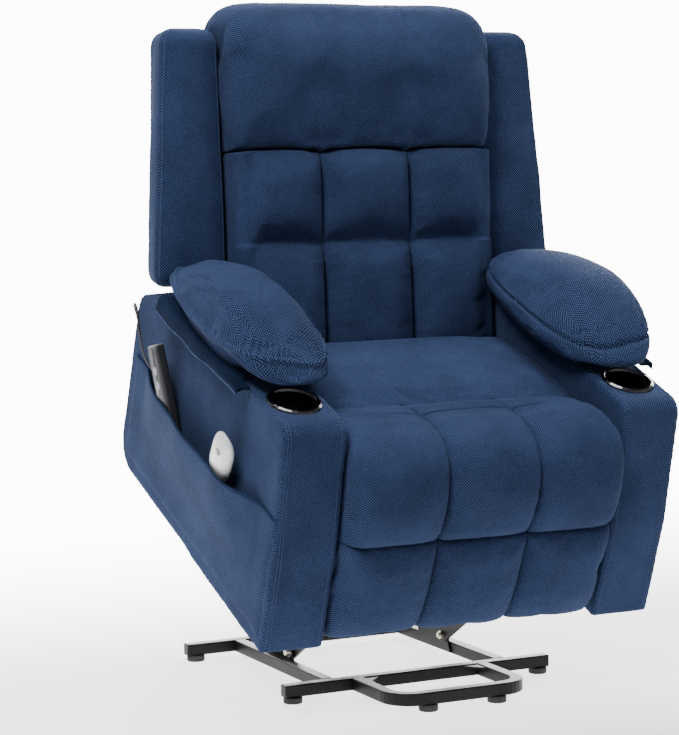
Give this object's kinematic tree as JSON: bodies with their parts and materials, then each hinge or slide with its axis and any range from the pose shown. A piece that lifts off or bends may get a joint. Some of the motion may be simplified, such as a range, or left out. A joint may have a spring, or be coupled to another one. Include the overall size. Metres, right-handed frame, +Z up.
{
  "type": "lift recliner chair",
  "caption": "Upholstered power lift chair with hinged back, folding footrest, stuffed arm pads, cup holders and side pocket on a steel lift base.",
  "frame": {"origin": "on the floor under the middle of the chair's box, with the chair lifted and tilted forward", "axes": "+Z up, -Y the way the sitter faces, +X the viewer's right when facing the chair"},
  "size_m": [0.9147, 0.884, 1.3348],
  "materials": {
    "fabric": "woven heathered blue upholstery",
    "lining": "dark backing cloth",
    "frame_steel": "black satin powder coat",
    "zinc": "zinc plated",
    "bright_rod": "polished rod",
    "rubber": "black rubber",
    "black_plastic": "satin moulded plastic",
    "cup": "gloss dark plastic",
    "white_plastic": "gloss off-white plastic",
    "button": "grey rubberised plastic",
    "plywood": "plywood panel"
  },
  "bodies": {
    "base": {"front_cross_tube": "frame_steel", "rear_cross_tube": "frame_steel", "side_rail_left": "frame_steel", "side_rail_right": "frame_steel", "front_loop": "frame_steel", "foot_front_left": "rubber", "foot_front_right": "rubber", "foot_rear_left": "rubber", "foot_rear_right": "rubber", "foot_loop_left": "rubber", "foot_loop_right": "rubber", "pivot_bracket_left": "frame_steel", "pivot_bracket_right": "frame_steel", "pivot_bolt_left": "zinc", "pivot_bolt_right": "zinc", "motor_clevis": "frame_steel"},
    "lift_links": {"lift_link_left": "frame_steel", "lift_link_right": "frame_steel", "lift_torque_tube": "frame_steel"},
    "guide_links": {"guide_link_left": "frame_steel", "guide_link_right": "frame_steel"},
    "lift_actuator": {"lift_motor": "black_plastic"},
    "actuator_ram": {"actuator_rod": "bright_rod"},
    "chair": {"mechanism_plate_left": "frame_steel", "mechanism_plate_right": "frame_steel", "seat_cross_tube_front": "frame_steel", "seat_cross_tube_middle": "frame_steel", "seat_platform": "plywood", "control_box": "black_plastic", "arm_left": "fabric", "arm_right": "fabric", "cup_holder_left": "cup", "cup_holder_right": "cup", "arm_flange_left": "fabric", "arm_flange_right": "fabric", "arm_pad_left": "fabric", "arm_pad_right": "fabric", "pocket_panel": "fabric", "rear_valance": "lining", "seat_cushion": "fabric", "cord_gland": "rubber", "handset_cord": "rubber", "handset": "black_plastic", "massage_remote": "white_plastic"},
    "backrest": {"back_board": "plywood", "back_cushion": "fabric", "head_cushion": "fabric", "back_cover": "fabric", "wing_left": "fabric", "wing_right": "fabric"},
    "footrest_lower": {"footrest_lower_links": "frame_steel"},
    "footrest_upper": {"footrest_upper_link_left": "frame_steel", "footrest_upper_link_right": "frame_steel"},
    "footrest": {"footrest_board": "plywood", "footrest_cushion_upper": "fabric", "footrest_cushion_lower": "fabric"},
    "up_button": {"handset_button_up": "button"},
    "down_button": {"handset_button_down": "button"},
    "heat_button": {"remote_button": "button"}
  },
  "joints": [
    {"name": "lift_pivot", "type": "hinge", "parent": "base", "child": "lift_links", "pos_m": [0.0023, 0.1275, 0.049], "axis": [1, 0, 0], "range_deg": [0, 25.4]},
    {"name": "chair_tilt", "type": "hinge", "parent": "lift_links", "child": "chair", "pos_m": [0.0023, -0.15953, 0.22003], "axis": [1, 0, 0], "range_deg": [-46.9, 0]},
    {"name": "guide_pivot", "type": "hinge", "parent": "base", "child": "guide_links", "pos_m": [0.0023, 0.2285, 0.075], "axis": [1, 0, 0], "range_deg": [0, 28.9]},
    {"name": "actuator_swing", "type": "hinge", "parent": "base", "child": "lift_actuator", "pos_m": [0.0023, 0.3225, 0.072], "axis": [1, 0, 0], "range_deg": [0, 25.7]},
    {"name": "actuator_stroke", "type": "slide", "parent": "lift_actuator", "child": "actuator_ram", "axis": [0, -0.6715, 0.741], "range_m": [-0.132, 0]},
    {"name": "recline", "type": "hinge", "parent": "chair", "child": "backrest", "pos_m": [0.0023, 0.22679, 0.58717], "axis": [1, 0, 0], "range_deg": [-35, 0]},
    {"name": "footrest_swing", "type": "hinge", "parent": "chair", "child": "footrest_lower", "pos_m": [0.0023, -0.19105, 0.40645], "axis": [1, 0, 0], "range_deg": [-75, 0]},
    {"name": "footrest_elbow", "type": "hinge", "parent": "footrest_lower", "child": "footrest_upper", "pos_m": [0.0023, -0.14277, 0.24345], "axis": [1, 0, 0], "range_deg": [0, 139.3]},
    {"name": "footrest_turn", "type": "hinge", "parent": "footrest_upper", "child": "footrest", "pos_m": [0.0023, -0.26534, 0.40406], "axis": [1, 0, 0], "range_deg": [-152.3, 0]},
    {"name": "up_button_press", "type": "slide", "parent": "chair", "child": "up_button", "axis": [0.9906, 0.0196, 0.1356], "range_m": [0, 0.0015], "stiffness_N_per_m": 300, "springref_m": -0.001},
    {"name": "down_button_press", "type": "slide", "parent": "chair", "child": "down_button", "axis": [0.9906, 0.0196, 0.1356], "range_m": [0, 0.0015], "stiffness_N_per_m": 300, "springref_m": -0.001},
    {"name": "heat_button_press", "type": "slide", "parent": "chair", "child": "heat_button", "axis": [0.9855, -0.1338, 0.1047], "range_m": [0, 0.0015], "stiffness_N_per_m": 300, "springref_m": -0.001}
  ],
  "couplings": [
    {"joint": "chair_tilt", "follows": "lift_pivot", "ratio": -1.846},
    {"joint": "guide_pivot", "follows": "lift_pivot", "ratio": 1.134},
    {"joint": "actuator_swing", "follows": "lift_pivot", "ratio": 1.008},
    {"joint": "actuator_stroke", "follows": "lift_pivot", "m_per_rad": -0.2964},
    {"joint": "footrest_elbow", "follows": "footrest_swing", "ratio": -1.856},
    {"joint": "footrest_turn", "follows": "footrest_swing", "ratio": 2.029}
  ]
}
